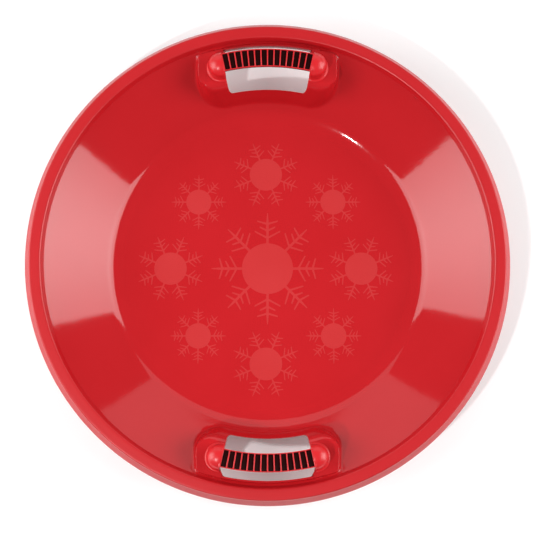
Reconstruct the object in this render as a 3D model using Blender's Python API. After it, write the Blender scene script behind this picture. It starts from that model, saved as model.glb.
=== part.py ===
"""A round plastic saucer sled with two ribbed hand grips.

The dish is one moulded sheet: a flat floor, a conical flank, a turned-over rim, and two hollow mounts that
carry the handles. Each handle is a black grip core under a red cover, held by two screws driven up from
inside the mount. The model is in metres, +Z up, and stands on the middle of its underside at the origin.
"""

import math

import bmesh
import bpy
from mathutils import Matrix, Vector

MM = 0.001

# Dish
OUTER_RADIUS = 324 * MM
RIM_HEIGHT = 82 * MM
SHEET = 2.5 * MM
FLANK_RUN = 89.2 * MM
FLOOR_BEND = 39 * MM
RIM_WIDTH = 15.3 * MM
RIM_EDGE_BEND = 4.5 * MM
RISER_HEIGHT = 7.5 * MM
RISER_RUN = 2.8 * MM
RISER_FOOT_BEND = 2.5 * MM
SKIRT_DROP = 19 * MM
SKIRT_FLARE = 7.7 * MM

# Mounts, from the rim inwards
MOUNT_RIM_GAP = 4.7 * MM
OUTER_LIP = 2.8 * MM
THUMB_GAP = 11.2 * MM
FINGER_GAP = 19.3 * MM
INNER_LIP = 9.2 * MM
OPENING_INNER_CORNER = 5 * MM
OPENING_OUTER_CORNER = 13 * MM
MOUNT_RISE = 1.5 * MM
MOUNT_LEDGE = 13.5 * MM
MOUNT_INNER_BEND = 1 * MM
MOUNT_FRONT_CORNER = 32.5 * MM
MOUNT_REAR_CORNER = 9 * MM
MOUNT_FRONT_DRAFT = math.radians(14.5)
MOUNT_SIDE_DRAFT = math.radians(4)

# Handles
GRIP_LENGTH = 119 * MM
GRIP_WIDTH = 24.2 * MM
GRIP_ABOVE_RIM = 23 * MM
RIB_COUNT = 13
RIB = 1.6 * MM
RAIL = 1.3 * MM
GRILLE_DEPTH = 5.5 * MM
GRILLE_CROWN = 1 * MM
CORE_DEPTH = 16.5 * MM
CORE_CHEEK = 3 * MM
TOOTH_SINK = 2.2 * MM
TONGUE = 7 * MM
TONGUE_LAP = 3 * MM
FOOT_WIDTH = 16 * MM
FOOT_REACH = 7 * MM
KNUCKLE_FACE = 2 * MM
KNUCKLE_WALL = 5.5 * MM
KNUCKLE_LAP = 5.4 * MM
KNUCKLE_ABOVE_GRIP = 1 * MM
DOME_HEIGHT = 14 * MM

# Screws
SCREW_RADIUS = 2 * MM
SCREW_BITE = 8 * MM
SCREW_HEAD_RADIUS = 5 * MM
SCREW_HEAD_HEIGHT = 2.4 * MM
SCREW_HEAD_ROOM = 1.5 * MM
RECESS_WIDTH = 1.2 * MM
RECESS_LENGTH = 5 * MM
RECESS_DEPTH = 1.3 * MM

# Running fits between the pieces, and how far a cutter runs past what it cuts
CLEARANCE = 0.3 * MM
OVERRUN = 10 * MM

# Facets
TURN_STEPS = 80
BEND_STEPS = 3
FLOOR_BEND_STEPS = 5
GRIP_STEPS = 28
OUTLINE_STEPS = 5
ARC_STEPS = 12
DOME_LEVELS = 6
SCREW_STEPS = 16
SMOOTH_ANGLE = math.radians(35)

# Radii and heights that follow from the sizes above
RIM_OUTER_RADIUS = OUTER_RADIUS - SKIRT_FLARE
RIM_INNER_RADIUS = RIM_OUTER_RADIUS - RIM_WIDTH
FLANK_TOP_RADIUS = RIM_INNER_RADIUS - RISER_RUN
FLOOR_RADIUS = FLANK_TOP_RADIUS - FLANK_RUN
FLANK_TOP = RIM_HEIGHT - RISER_HEIGHT
FLANK_RISE = (FLANK_TOP - SHEET) / FLANK_RUN

MOUNT_OUTER_RADIUS = FLANK_TOP_RADIUS - MOUNT_RIM_GAP
OPENING_OUTER_RADIUS = MOUNT_OUTER_RADIUS - OUTER_LIP
GRIP_RADIUS = OPENING_OUTER_RADIUS - THUMB_GAP - GRIP_WIDTH / 2
OPENING_INNER_RADIUS = GRIP_RADIUS - GRIP_WIDTH / 2 - FINGER_GAP
MOUNT_FOOT_RADIUS = OPENING_INNER_RADIUS - INNER_LIP
MOUNT_FOOT = SHEET + (MOUNT_FOOT_RADIUS - FLOOR_RADIUS) * FLANK_RISE
MOUNT_TOP = FLANK_TOP + MOUNT_RISE

GRIP_HALF_ANGLE = GRIP_LENGTH / 2 / GRIP_RADIUS
GRIP_TOP = RIM_HEIGHT + GRIP_ABOVE_RIM
GRILLE_BOTTOM = GRIP_TOP - GRILLE_DEPTH
CORE_TOP = GRILLE_BOTTOM - CLEARANCE
CORE_BOTTOM = CORE_TOP - CORE_DEPTH
TONGUE_BOTTOM = CORE_BOTTOM + CORE_CHEEK
TONGUE_TOP = TONGUE_BOTTOM + TONGUE
SEAT = MOUNT_TOP + CLEARANCE
SCREW_REACH = SHEET + SCREW_HEAD_RADIUS + SCREW_HEAD_ROOM
FOOT_END = SCREW_REACH + FOOT_REACH
KNUCKLE_LENGTH = FOOT_END + KNUCKLE_WALL
KNUCKLE_HALF_WIDTH = GRIP_WIDTH / 2 + KNUCKLE_LAP
KNUCKLE_TOP = GRIP_TOP + KNUCKLE_ABOVE_GRIP
MOUNT_HALF_WIDTH = (
    GRIP_RADIUS * math.sin(GRIP_HALF_ANGLE)
    + KNUCKLE_LENGTH * math.cos(GRIP_HALF_ANGLE)
    + MOUNT_LEDGE
)
SCREW_TOP = TONGUE_TOP + SCREW_BITE
SCREW_SEAT = MOUNT_TOP - SHEET - CLEARANCE
HOLE_RADIUS = SCREW_RADIUS + CLEARANCE


def clear_scene():
    for old in list(bpy.data.objects):
        bpy.data.objects.remove(old, do_unlink=True)


def plastic(name, colour, roughness):
    material = bpy.data.materials.new(name)
    material.use_nodes = True
    shader = material.node_tree.nodes["Principled BSDF"]
    shader.inputs["Base Color"].default_value = (*colour, 1)
    shader.inputs["Roughness"].default_value = roughness
    shader.inputs["Metallic"].default_value = 0
    return material


def steel(name):
    material = plastic(name, (0.6, 0.6, 0.62), 0.3)
    material.node_tree.nodes["Principled BSDF"].inputs["Metallic"].default_value = 1
    return material


def add_object(name, bm, material=None, parent=None):
    """Makes an object of a bmesh. Without a material it is a helper, which no render shows."""
    bmesh.ops.recalc_face_normals(bm, faces=bm.faces)
    mesh = bpy.data.meshes.new(name)
    bm.to_mesh(mesh)
    bm.free()
    mesh.shade_smooth()
    mesh.set_sharp_from_angle(angle=SMOOTH_ANGLE)
    made = bpy.data.objects.new(name, mesh)
    bpy.context.scene.collection.objects.link(made)
    made.parent = parent
    if material:
        mesh.materials.append(material)
    else:
        made.hide_render = True
        made.display_type = "WIRE"
    return made


def boolean(target, operation, operand):
    modifier = target.modifiers.new(f"{operation.lower()} {operand.name}", "BOOLEAN")
    modifier.operation = operation
    modifier.solver = "EXACT"
    modifier.object = operand


def filleted_path(corners):
    """Walks (radius, height, bend, steps) corners and rounds each bend. Gives (point, upper normal) pairs."""
    flat = [Vector(corner[:2]) for corner in corners]
    path = []
    for i, (_, _, bend, steps) in enumerate(corners):
        before = (flat[i] - flat[i - 1]).normalized() if i else None
        after = (flat[i + 1] - flat[i]).normalized() if i + 1 < len(flat) else None
        heading = before or after
        normal = Vector((-heading.y, heading.x))
        if not bend:
            path.append((flat[i], normal))
            continue
        turn = math.atan2(before.cross(after), before.dot(after))
        side = -1 if turn > 0 else 1
        start = flat[i] - before * bend * math.tan(abs(turn) / 2)
        centre = start - normal * bend * side
        for step in range(steps + 1):
            here = Matrix.Rotation(turn * step / steps, 2) @ normal
            path.append((centre + here * bend * side, here))
    return path


def turned(outline, steps, start=0):
    """Spins an open outline, which starts and ends on the axis, into a closed solid."""
    bm = bmesh.new()
    turn = Matrix.Rotation(start, 3, "Z")
    points = [bm.verts.new(turn @ Vector((p.x, 0, p.y))) for p in outline]
    edges = [bm.edges.new(pair) for pair in zip(points, points[1:])]
    bmesh.ops.spin(
        bm,
        geom=points + edges,
        cent=(0, 0, 0),
        axis=(0, 0, 1),
        angle=math.tau,
        steps=steps,
        use_merge=True,
    )
    bmesh.ops.remove_doubles(bm, verts=bm.verts, dist=CLEARANCE / 100)
    return bm


def loft(bm, levels):
    """Carries a closed outline through levels of as many points each, and closes both ends."""
    face = bm.faces.new([bm.verts.new(point) for point in levels[0]])
    for level in levels[1:]:
        region = [face, *face.edges, *face.verts]
        grown = bmesh.ops.extrude_face_region(bm, geom=region)["geom"]
        face = next(item for item in grown if isinstance(item, bmesh.types.BMFace))
        for vert, point in zip(face.verts, level):
            vert.co = point


def sector(bm, section, start, sweep, steps):
    """Spins a closed (radius, height) section round the sled's axis. Angle 0 is the middle of the handle."""
    turn = Matrix.Rotation(-start, 3, "Z")
    face = bm.faces.new([bm.verts.new(turn @ Vector((0, r, z))) for r, z in section])
    bmesh.ops.spin(
        bm, geom=[face], cent=(0, 0, 0), axis=(0, 0, 1), angle=-sweep, steps=steps
    )


def arc(centre, radius, start, end, steps):
    """Points on an arc, in angles from +Y towards +X."""
    angles = [start + (end - start) * step / steps for step in range(steps + 1)]
    return [
        Vector((centre.x + radius * math.sin(a), centre.y + radius * math.cos(a)))
        for a in angles
    ]


def half_arc(radius, end, steps):
    """Half an arc about the sled's axis, from its middle facet, which X = 0 halves, to an end angle."""
    step = end / (steps + 0.5)
    return arc(Vector((0, 0)), radius, step / 2, end, steps)


def mirrored(half):
    """Closes a half outline, listed from the middle of one side to the middle of the other, across X = 0."""
    return half + [Vector((-p.x, p.y)) for p in reversed(half)]


def mount_outline(inner, outer, half_width, front_corner, rear_corner):
    """The kidney shape of a handle mount: arcs about the sled's axis, and straight sides."""
    front_x = half_width - front_corner
    front = Vector((front_x, math.sqrt((inner + front_corner) ** 2 - front_x**2)))
    rear_x = half_width - rear_corner
    rear = Vector((rear_x, math.sqrt((outer - rear_corner) ** 2 - rear_x**2)))
    front_angle = math.atan2(front.x, front.y)
    rear_angle = math.atan2(rear.x, rear.y)
    half = half_arc(inner, front_angle, ARC_STEPS // 2)
    half += arc(front, front_corner, math.pi + front_angle, math.pi / 2, OUTLINE_STEPS)[1:]
    half += arc(rear, rear_corner, math.pi / 2, rear_angle, OUTLINE_STEPS)
    half += half_arc(outer, rear_angle, ARC_STEPS // 2)[-2::-1]
    return mirrored(half)


def opening_outline(inner, outer, half_angle, front_corner, rear_corner):
    """The hand opening: arcs about the sled's axis, radial sides and rounded corners."""
    front_turn = math.asin(front_corner / (inner + front_corner))
    rear_turn = math.asin(rear_corner / (outer - rear_corner))
    front_angle = half_angle - front_turn
    rear_angle = half_angle - rear_turn
    front = half_arc(inner + front_corner, front_angle, 1)[-1]
    rear = half_arc(outer - rear_corner, rear_angle, 1)[-1]
    side = half_angle + math.pi / 2
    half = half_arc(inner, front_angle, ARC_STEPS // 2)
    half += arc(front, front_corner, math.pi + front_angle, side, OUTLINE_STEPS)[1:]
    half += arc(rear, rear_corner, side, rear_angle, OUTLINE_STEPS)
    half += half_arc(outer, rear_angle, ARC_STEPS // 2)[-2::-1]
    return mirrored(half)


def at_height(outline, height):
    return [Vector((p.x, p.y, height)) for p in outline]


def dish_path():
    """The upper face of the sheet, from the middle of the floor to the lower edge of the skirt."""
    return filleted_path(
        [
            (0, SHEET, 0, 0),
            (FLOOR_RADIUS, SHEET, FLOOR_BEND, FLOOR_BEND_STEPS),
            (FLANK_TOP_RADIUS, FLANK_TOP, RISER_FOOT_BEND, BEND_STEPS),
            (RIM_INNER_RADIUS, RIM_HEIGHT, RIM_EDGE_BEND, BEND_STEPS),
            (RIM_OUTER_RADIUS, RIM_HEIGHT, RIM_EDGE_BEND, BEND_STEPS),
            (OUTER_RADIUS, RIM_HEIGHT - SKIRT_DROP, 0, 0),
        ]
    )


def upper_form():
    """All that lies under the sheet's upper face, down past the skirt."""
    path = dish_path()
    edge, normal = path[-1]
    below = edge + Vector((normal.y, -normal.x)) * OVERRUN
    outline = [point for point, _ in path[:-1]]
    outline += [below, Vector((below.x, -OVERRUN)), Vector((0, -OVERRUN))]
    return turned(outline, TURN_STEPS)


def lower_form():
    """All that lies under the sheet's lower face. It ends the skirt square to the sheet.

    Its facets are half a step round from the upper form's, so that no edge of one lies on an edge of the other.
    """
    path = dish_path()
    edge, normal = path[-1]
    beyond = edge + normal * 2 * OVERRUN
    outline = [point - up * SHEET for point, up in path]
    outline += [beyond, Vector((beyond.x, -2 * OVERRUN)), Vector((0, -2 * OVERRUN))]
    return turned(outline, TURN_STEPS, math.pi / TURN_STEPS)


def mount_levels(skin):
    """Outlines of a handle mount from inside the flank up to its top, taken in by a skin's thickness.

    The rear corner's radius is that of the flat top. The front one's is that of the foot, without the edge's
    bend, and it shrinks up the wall with the draft.
    """
    foot = MOUNT_FOOT - OVERRUN
    top = MOUNT_TOP - skin
    bend = MOUNT_INNER_BEND + SHEET - skin
    turns = [math.pi / 2 * step / BEND_STEPS for step in range(BEND_STEPS + 1)]
    places = [(foot, 0)]
    places += [(top - bend * (1 - math.sin(a)), bend * (1 - math.cos(a))) for a in turns]
    levels = []
    for height, inset in places:
        front = (height - MOUNT_FOOT) * math.tan(MOUNT_FRONT_DRAFT)
        side = (MOUNT_TOP - height) * math.tan(MOUNT_SIDE_DRAFT)
        outline = mount_outline(
            MOUNT_FOOT_RADIUS + front + skin / math.cos(MOUNT_FRONT_DRAFT) + inset,
            MOUNT_OUTER_RADIUS - skin - inset,
            MOUNT_HALF_WIDTH + side - skin / math.cos(MOUNT_SIDE_DRAFT) - inset,
            MOUNT_FRONT_CORNER + bend - inset - front,
            MOUNT_REAR_CORNER + bend - inset,
        )
        levels.append(at_height(outline, height))
    return levels


def mount_form(skin, parent):
    bm = bmesh.new()
    loft(bm, mount_levels(skin))
    return add_object("mount form", bm, parent=parent)


def mount_hollow(parent):
    """The hollow of the two posts of a mount. The sheet between them stays for the hand opening's sides."""
    hollow = mount_form(SHEET, parent)
    bm = bmesh.new()
    half_angle = GRIP_HALF_ANGLE + SHEET / GRIP_RADIUS
    near = MOUNT_FOOT_RADIUS - 2 * OVERRUN
    far = OUTER_RADIUS + OVERRUN
    section = [(near, -2 * OVERRUN), (far, -2 * OVERRUN), (far, GRIP_TOP), (near, GRIP_TOP)]
    sector(bm, section, -half_angle, 2 * half_angle, ARC_STEPS)
    boolean(hollow, "DIFFERENCE", add_object("middle of the mount", bm, parent=parent))
    return hollow


def opening_form(parent):
    outline = opening_outline(
        OPENING_INNER_RADIUS,
        OPENING_OUTER_RADIUS,
        GRIP_HALF_ANGLE,
        OPENING_INNER_CORNER,
        OPENING_OUTER_CORNER,
    )
    bm = bmesh.new()
    loft(bm, [at_height(outline, -3 * OVERRUN), at_height(outline, GRIP_TOP)])
    return add_object("hand opening", bm, parent=parent)


def end_frame(side):
    """The frame at one end of the grip: X along the grip outwards, Y away from the sled's axis."""
    place = Matrix.Rotation(-side * GRIP_HALF_ANGLE, 4, "Z")
    place @= Matrix.Translation((0, GRIP_RADIUS, 0))
    return place @ Matrix.Diagonal((side, 1, 1, 1))


def cylinder(bm, radius, bottom, top, place):
    """A round bar standing on the point that place puts at the origin."""
    bmesh.ops.create_cone(
        bm,
        cap_ends=True,
        segments=SCREW_STEPS,
        radius1=radius,
        radius2=radius,
        depth=top - bottom,
        matrix=place @ Matrix.Translation((0, 0, (top + bottom) / 2)),
    )


def screw_places():
    """Where the two screws of a handle stand, at its right and left end."""
    return [end_frame(side) @ Matrix.Translation((SCREW_REACH, 0, 0)) for side in (1, -1)]


def screw_holes(parent, top):
    bm = bmesh.new()
    for place in screw_places():
        cylinder(bm, HOLE_RADIUS, SCREW_SEAT - OVERRUN, top, place)
    return add_object("screw holes", bm, parent=parent)


def knuckle_outline(inset):
    """The plan of a knuckle in its end frame: flat where it meets the grip, round at its far end."""
    radius = KNUCKLE_HALF_WIDTH - inset
    centre = Vector((KNUCKLE_LENGTH - KNUCKLE_HALF_WIDTH, 0))
    round_end = arc(centre, radius, math.pi, 0, 2 * OUTLINE_STEPS)
    return [Vector((0, radius)), Vector((0, -radius))] + round_end


def knuckle(bm, side):
    """A domed knuckle, level by level from its seat on the mount."""
    shoulder = KNUCKLE_TOP - DOME_HEIGHT
    shrink = KNUCKLE_HALF_WIDTH - CLEARANCE
    places = [(SEAT, 0)]
    for step in range(DOME_LEVELS + 1):
        turn = math.pi / 2 * step / DOME_LEVELS
        places.append((shoulder + DOME_HEIGHT * math.sin(turn), shrink * (1 - math.cos(turn))))
    frame = end_frame(side)
    levels = [at_height(knuckle_outline(inset), height) for height, inset in places]
    loft(bm, [[frame @ point for point in level] for level in levels])


def grille_blank(parent):
    """The crowned plate between the knuckles, before its slots are cut."""
    inner = GRIP_RADIUS - GRIP_WIDTH / 2
    section = [(inner + GRIP_WIDTH, GRILLE_BOTTOM), (inner, GRILLE_BOTTOM)]
    for step in range(OUTLINE_STEPS + 1):
        share = step / OUTLINE_STEPS
        drop = GRILLE_CROWN * (2 * share - 1) ** 2
        section.append((inner + GRIP_WIDTH * share, GRIP_TOP - drop))
    half_angle = GRIP_HALF_ANGLE + KNUCKLE_FACE / GRIP_RADIUS
    bm = bmesh.new()
    sector(bm, section, -half_angle, 2 * half_angle, GRIP_STEPS)
    return add_object("grille blank", bm, parent=parent)


def teeth(parent, gap, top):
    """The pads between the ribs of the grille, or with a gap the slots that they fill."""
    half_width = GRIP_WIDTH / 2 - RAIL - CLEARANCE + gap
    near = GRIP_RADIUS - half_width
    far = GRIP_RADIUS + half_width
    bottom = CORE_TOP - CORE_CHEEK / 2
    section = [(near, bottom), (far, bottom), (far, top), (near, top)]
    pads = RIB_COUNT + 1
    pitch = 2 * GRIP_HALF_ANGLE / pads
    sweep = pitch - (RIB + 2 * CLEARANCE - 2 * gap) / GRIP_RADIUS
    bm = bmesh.new()
    for index in range(pads):
        middle = pitch * (index + 0.5) - GRIP_HALF_ANGLE
        sector(bm, section, middle - sweep / 2, sweep, 1)
    return add_object("grip pads", bm, parent=parent)


def core_ends(parent, gap):
    """The tongue and foot at each end of the grip core, as one bent profile each."""
    floor = SEAT if not gap else SEAT - OVERRUN
    profile = [
        (-TONGUE_LAP, TONGUE_BOTTOM - gap),
        (KNUCKLE_FACE - gap, TONGUE_BOTTOM - gap),
        (KNUCKLE_FACE - gap, floor),
        (FOOT_END + gap, floor),
        (FOOT_END + gap, TONGUE_TOP + gap),
        (-TONGUE_LAP, TONGUE_TOP + gap),
    ]
    half_width = FOOT_WIDTH / 2 + gap
    bm = bmesh.new()
    for side in (1, -1):
        frame = end_frame(side)
        faces = [[frame @ Vector((x, y, z)) for x, z in profile] for y in (half_width, -half_width)]
        loft(bm, faces)
    return add_object("core ends", bm, parent=parent)


def core_section():
    """The black core's cross-section: short upright cheeks and a half-round belly for the fingers."""
    half_width = GRIP_WIDTH / 2
    cheek = CORE_TOP - CORE_CHEEK
    section = [(GRIP_RADIUS + half_width, CORE_TOP), (GRIP_RADIUS - half_width, CORE_TOP)]
    belly_steps = 2 * OUTLINE_STEPS
    for step in range(belly_steps + 1):
        turn = math.pi * step / belly_steps
        height = cheek - (CORE_DEPTH - CORE_CHEEK) * math.sin(turn)
        section.append((GRIP_RADIUS - half_width * math.cos(turn), height))
    return section


def add_core(name, parent, material):
    """The black grip core: the belly under the fingers, pads between the ribs, and a foot in each knuckle."""
    bm = bmesh.new()
    half_angle = GRIP_HALF_ANGLE - CLEARANCE / GRIP_RADIUS
    sector(bm, core_section(), -half_angle, 2 * half_angle, RIB_COUNT + 1)
    core = add_object(name, bm, material, parent)
    boolean(core, "UNION", teeth(parent, 0, GRIP_TOP - TOOTH_SINK))
    boolean(core, "UNION", core_ends(parent, 0))
    boolean(core, "DIFFERENCE", screw_holes(parent, SCREW_TOP))
    return core


def add_cover(name, parent, material):
    """The red cover: a ribbed grille between two domed knuckles, hollowed for the core's feet."""
    bm = bmesh.new()
    for side in (1, -1):
        knuckle(bm, side)
    cover = add_object(name, bm, material, parent)
    boolean(cover, "UNION", grille_blank(parent))
    boolean(cover, "DIFFERENCE", teeth(parent, CLEARANCE, GRIP_TOP + OVERRUN))
    boolean(cover, "DIFFERENCE", core_ends(parent, CLEARANCE))
    boolean(cover, "DIFFERENCE", screw_holes(parent, SCREW_TOP + CLEARANCE))
    return cover


def add_screw(name, place, parent, material):
    """A pan-head screw, its origin on its axis under the mount's top sheet."""
    rim = SCREW_HEAD_HEIGHT / 2
    outline = [
        Vector((0, SCREW_TOP - SCREW_SEAT)),
        Vector((SCREW_RADIUS / 2, SCREW_TOP - SCREW_SEAT)),
        Vector((SCREW_RADIUS, SCREW_TOP - SCREW_SEAT - SCREW_RADIUS)),
        Vector((SCREW_RADIUS, 0)),
        Vector((SCREW_HEAD_RADIUS, 0)),
        Vector((SCREW_HEAD_RADIUS, -rim)),
        Vector((SCREW_HEAD_RADIUS - rim, -SCREW_HEAD_HEIGHT)),
        Vector((0, -SCREW_HEAD_HEIGHT)),
    ]
    screw = add_object(name, turned(outline, SCREW_STEPS), material, parent)
    screw.location = place.to_translation() + Vector((0, 0, SCREW_SEAT))
    recess = driver_recess(parent)
    recess.location = screw.location - Vector((0, 0, SCREW_HEAD_HEIGHT))
    boolean(screw, "DIFFERENCE", recess)
    return screw


def driver_recess(parent):
    """The cross recess in a screw head, as one crossed outline."""
    a = RECESS_WIDTH / 2
    b = RECESS_LENGTH / 2
    corners = [(a, a), (b, a), (b, -a), (a, -a), (a, -b), (-a, -b)]
    corners += [(-a, -a), (-b, -a), (-b, a), (-a, a), (-a, b), (a, b)]
    outline = [Vector(corner) for corner in corners]
    bm = bmesh.new()
    loft(bm, [at_height(outline, -OVERRUN), at_height(outline, RECESS_DEPTH)])
    return add_object("driver recess", bm, parent=parent)


def build():
    clear_scene()
    red = plastic("red plastic", (0.56, 0.012, 0.018), 0.18)
    black = plastic("black plastic", (0.012, 0.011, 0.012), 0.35)
    zinc = steel("zinc-plated steel")

    dish = add_object("sled_dish", upper_form(), red)
    underside = add_object("underside", lower_form())
    openings = []
    for name, turn in (("left", 0), ("right", math.pi)):
        handle = bpy.data.objects.new(f"{name} handle", None)
        bpy.context.scene.collection.objects.link(handle)
        handle.rotation_euler.z = turn
        boolean(dish, "UNION", mount_form(0, handle))
        boolean(underside, "UNION", mount_hollow(handle))
        openings += [opening_form(handle), screw_holes(handle, MOUNT_TOP + OVERRUN)]
        add_cover(f"{name}_handle_cover", handle, red)
        add_core(f"{name}_grip_core", handle, black)
        for end, place in zip(("front", "rear") if turn == 0 else ("rear", "front"), screw_places()):
            add_screw(f"{name}_{end}_screw", place, handle, zinc)
    boolean(dish, "DIFFERENCE", underside)
    for cut in openings:
        boolean(dish, "DIFFERENCE", cut)


build()
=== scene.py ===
# %% [markdown]
# A saucer sled, dressed for its picture
#
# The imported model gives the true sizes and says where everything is. This lesson lays the visible surfaces
# over it: a fine dish, ribbed handles with their black pads, screws and a printed floor, each with its own
# finish. Every piece is drawn in metres in the model's own frame, so nothing has to be fitted afterwards.

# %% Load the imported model
import math

import bmesh
import bpy
import numpy as np
from mathutils import Matrix, Vector


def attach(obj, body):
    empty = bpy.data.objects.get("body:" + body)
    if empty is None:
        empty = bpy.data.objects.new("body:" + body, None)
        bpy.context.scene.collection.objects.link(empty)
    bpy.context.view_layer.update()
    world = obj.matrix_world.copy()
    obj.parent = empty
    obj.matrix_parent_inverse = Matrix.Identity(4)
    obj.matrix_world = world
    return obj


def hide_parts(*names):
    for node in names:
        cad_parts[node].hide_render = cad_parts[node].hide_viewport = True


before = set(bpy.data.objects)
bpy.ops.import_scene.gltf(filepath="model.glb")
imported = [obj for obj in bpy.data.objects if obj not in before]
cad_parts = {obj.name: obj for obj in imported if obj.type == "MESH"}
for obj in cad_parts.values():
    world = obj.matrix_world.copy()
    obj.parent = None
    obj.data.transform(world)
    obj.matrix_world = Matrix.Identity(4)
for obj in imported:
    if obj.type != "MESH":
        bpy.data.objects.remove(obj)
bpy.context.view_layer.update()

MM = 0.001

# Vertices closer than MERGE become one, and a point within a HAIR of a plane counts as on it
MERGE = 0.001 * MM
HAIR = 0.01 * MM

# %% [markdown]
# The camera stands almost straight above, two metres up, and leans a little towards the side of the right
# handle. A long lens keeps the rings of the dish nearly concentric. The focal length comes from the number
# of pixels that the sled fills: a lens of f pixels on a frame of n pixels is f / n of the sensor's width.

# %% Camera
PHOTO = 533
FOCAL_PIXELS = 1499
SENSOR_WIDTH = 36
CAMERA_HEIGHT = math.radians(82.8)
CAMERA_DISTANCE = 2.0
AIM = Vector((-0.00135, -0.0077, 0.06203))

camera = bpy.data.objects.new("camera", bpy.data.cameras.new("camera"))
bpy.context.scene.collection.objects.link(camera)
bpy.context.scene.camera = camera
camera.data.sensor_width = SENSOR_WIDTH
camera.data.lens = SENSOR_WIDTH * FOCAL_PIXELS / PHOTO
camera.location = AIM + CAMERA_DISTANCE * Vector((0, -math.cos(CAMERA_HEIGHT), math.sin(CAMERA_HEIGHT)))
camera.rotation_euler = (math.pi / 2 - CAMERA_HEIGHT, 0, 0)
print("lens in mm:", round(camera.data.lens, 1))

# %% [markdown]
# Product photographers light glossy plastic with large soft boxes, because the plastic shows their shapes.
# The bright panels on the flank of the dish are two such boxes, one at each side. A soft box is brightest in
# the middle, in front of its bulb, so nodes on the lamp fade it towards its edges. A wide, dim card behind
# the dish softens the flank in front. One small lamp gives the sparkles on the rim and in the bend of the
# floor, and throws the bright patch on the paper that shows through the upper hand opening.
# Each is an area lamp aimed at the dish, placed by its compass angle and its height above the floor.

# %% Lights
LIT_POINT = Vector((0, 0, 0.04))

# Across a lamp's face both parametric coordinates run from 0 to 1
FACE_MIDDLE = (0.5, 0.5, 0)
FADE_ENDS = 0.6


def studio_light(name, compass, height, distance, width, depth, brightness, edge=1.0):
    """An area lamp whose face looks at the dish. Brightness is how white the mirror image of its middle would
    be, and edge is the share of that which is left at its edges."""
    data = bpy.data.lights.new(name, "AREA")
    data.shape = "RECTANGLE"
    data.size = width
    data.size_y = depth
    data.energy = brightness * width * depth * math.pi
    data.use_nodes = True
    nodes, links = data.node_tree.nodes, data.node_tree.links
    face = nodes.new("ShaderNodeNewGeometry")
    from_middle = nodes.new("ShaderNodeVectorMath")
    from_middle.operation = "DISTANCE"
    from_middle.inputs[1].default_value = FACE_MIDDLE
    links.new(face.outputs["Parametric"], from_middle.inputs[0])
    fall = nodes.new("ShaderNodeMapRange")
    fall.interpolation_type = "SMOOTHSTEP"
    for socket, value in (("From Min", 0), ("From Max", FADE_ENDS), ("To Min", 1), ("To Max", edge)):
        fall.inputs[socket].default_value = value
    links.new(from_middle.outputs["Value"], fall.inputs["Value"])
    links.new(fall.outputs["Result"], nodes["Emission"].inputs["Strength"])
    lamp = bpy.data.objects.new(name, data)
    bpy.context.scene.collection.objects.link(lamp)
    a, e = math.radians(compass), math.radians(height)
    towards = Vector((math.cos(a) * math.cos(e), math.sin(a) * math.cos(e), math.sin(e)))
    lamp.location = LIT_POINT + distance * towards
    lamp.rotation_mode = "QUATERNION"
    lamp.rotation_quaternion = (-towards).to_track_quat("-Z", "Y")
    print(name, "stands at", [round(value, 2) for value in lamp.location])


# Compass angle and height in degrees, distance, width and depth in metres, brightness, share at the edges
studio_light("left soft box", 180.5, 30.6, 2.4, 2.04, 1.87, 5.7, 0.6)
studio_light("right soft box", 1.5, 30.6, 2.4, 2.0, 1.87, 6.5, 0.6)
studio_light("rear card", 91, 30, 2.6, 4.4, 1.6, 0.85)
studio_light("small lamp", 229.5, 58, 2.4, 0.12, 0.12, 428)

# %% [markdown]
# The sled lies on white paper, which is lit like the sled and so keeps its shadow. A little light of the
# paper's own, which only the camera and mirror images see, lifts it from pale grey to white. Farther off,
# where the lamps no longer reach, that light takes over, and a low cove carries the white past the horizon.
# Above it the studio is a dim grey room. It is there in reflections, but hardly lights anything.

# %% Floor and room
PAPER_WHITE = 0.92
PAPER_LIFT = 0.12
LIT_RADIUS = 0.7
WHITE_RADIUS = 2.4
PAPER_RINGS = (0.6, 1.2, 2.4, 5)
PAPER_RADIUS = 10
PAPER_SPOKES = 64
PAPER_HEIGHT = -0.5 * MM
COVE_RADIUS = 1.0
COVE_STEPS = 8
ROOM_LIGHT = 0.15

paper = bpy.data.materials.new("white paper")
paper.use_nodes = True
nodes, links = paper.node_tree.nodes, paper.node_tree.links
shader = nodes["Principled BSDF"]
shader.inputs["Roughness"].default_value = 0.9
shader.inputs["Specular IOR Level"].default_value = 0
shader.inputs["Emission Color"].default_value = (1, 1, 1, 1)
place = nodes.new("ShaderNodeTexCoord")
away = nodes.new("ShaderNodeVectorMath")
away.operation = "LENGTH"
links.new(place.outputs["Object"], away.inputs[0])
tone = nodes.new("ShaderNodeMix")
tone.data_type = "RGBA"
tone.inputs["A"].default_value = (PAPER_WHITE, PAPER_WHITE, PAPER_WHITE, 1)
tone.inputs["B"].default_value = (0, 0, 0, 1)
fade = nodes.new("ShaderNodeMapRange")
lift = nodes.new("ShaderNodeMapRange")
for ramp, low in ((fade, 0), (lift, PAPER_LIFT)):
    ramp.interpolation_type = "SMOOTHSTEP"
    settings = {"From Min": LIT_RADIUS, "From Max": WHITE_RADIUS, "To Min": low, "To Max": 1}
    for name, value in settings.items():
        ramp.inputs[name].default_value = value
    links.new(away.outputs["Value"], ramp.inputs["Value"])
links.new(fade.outputs["Result"], tone.inputs["Factor"])
links.new(tone.outputs["Result"], shader.inputs["Base Color"])
rays = nodes.new("ShaderNodeLightPath")
seen = rays.outputs["Is Camera Ray"]
for kind in ("Is Glossy Ray", "Is Transmission Ray"):
    either = nodes.new("ShaderNodeMath")
    either.operation = "MAXIMUM"
    links.new(seen, either.inputs[0])
    links.new(rays.outputs[kind], either.inputs[1])
    seen = either.outputs[0]
glow = nodes.new("ShaderNodeMath")
glow.operation = "MULTIPLY"
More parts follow.
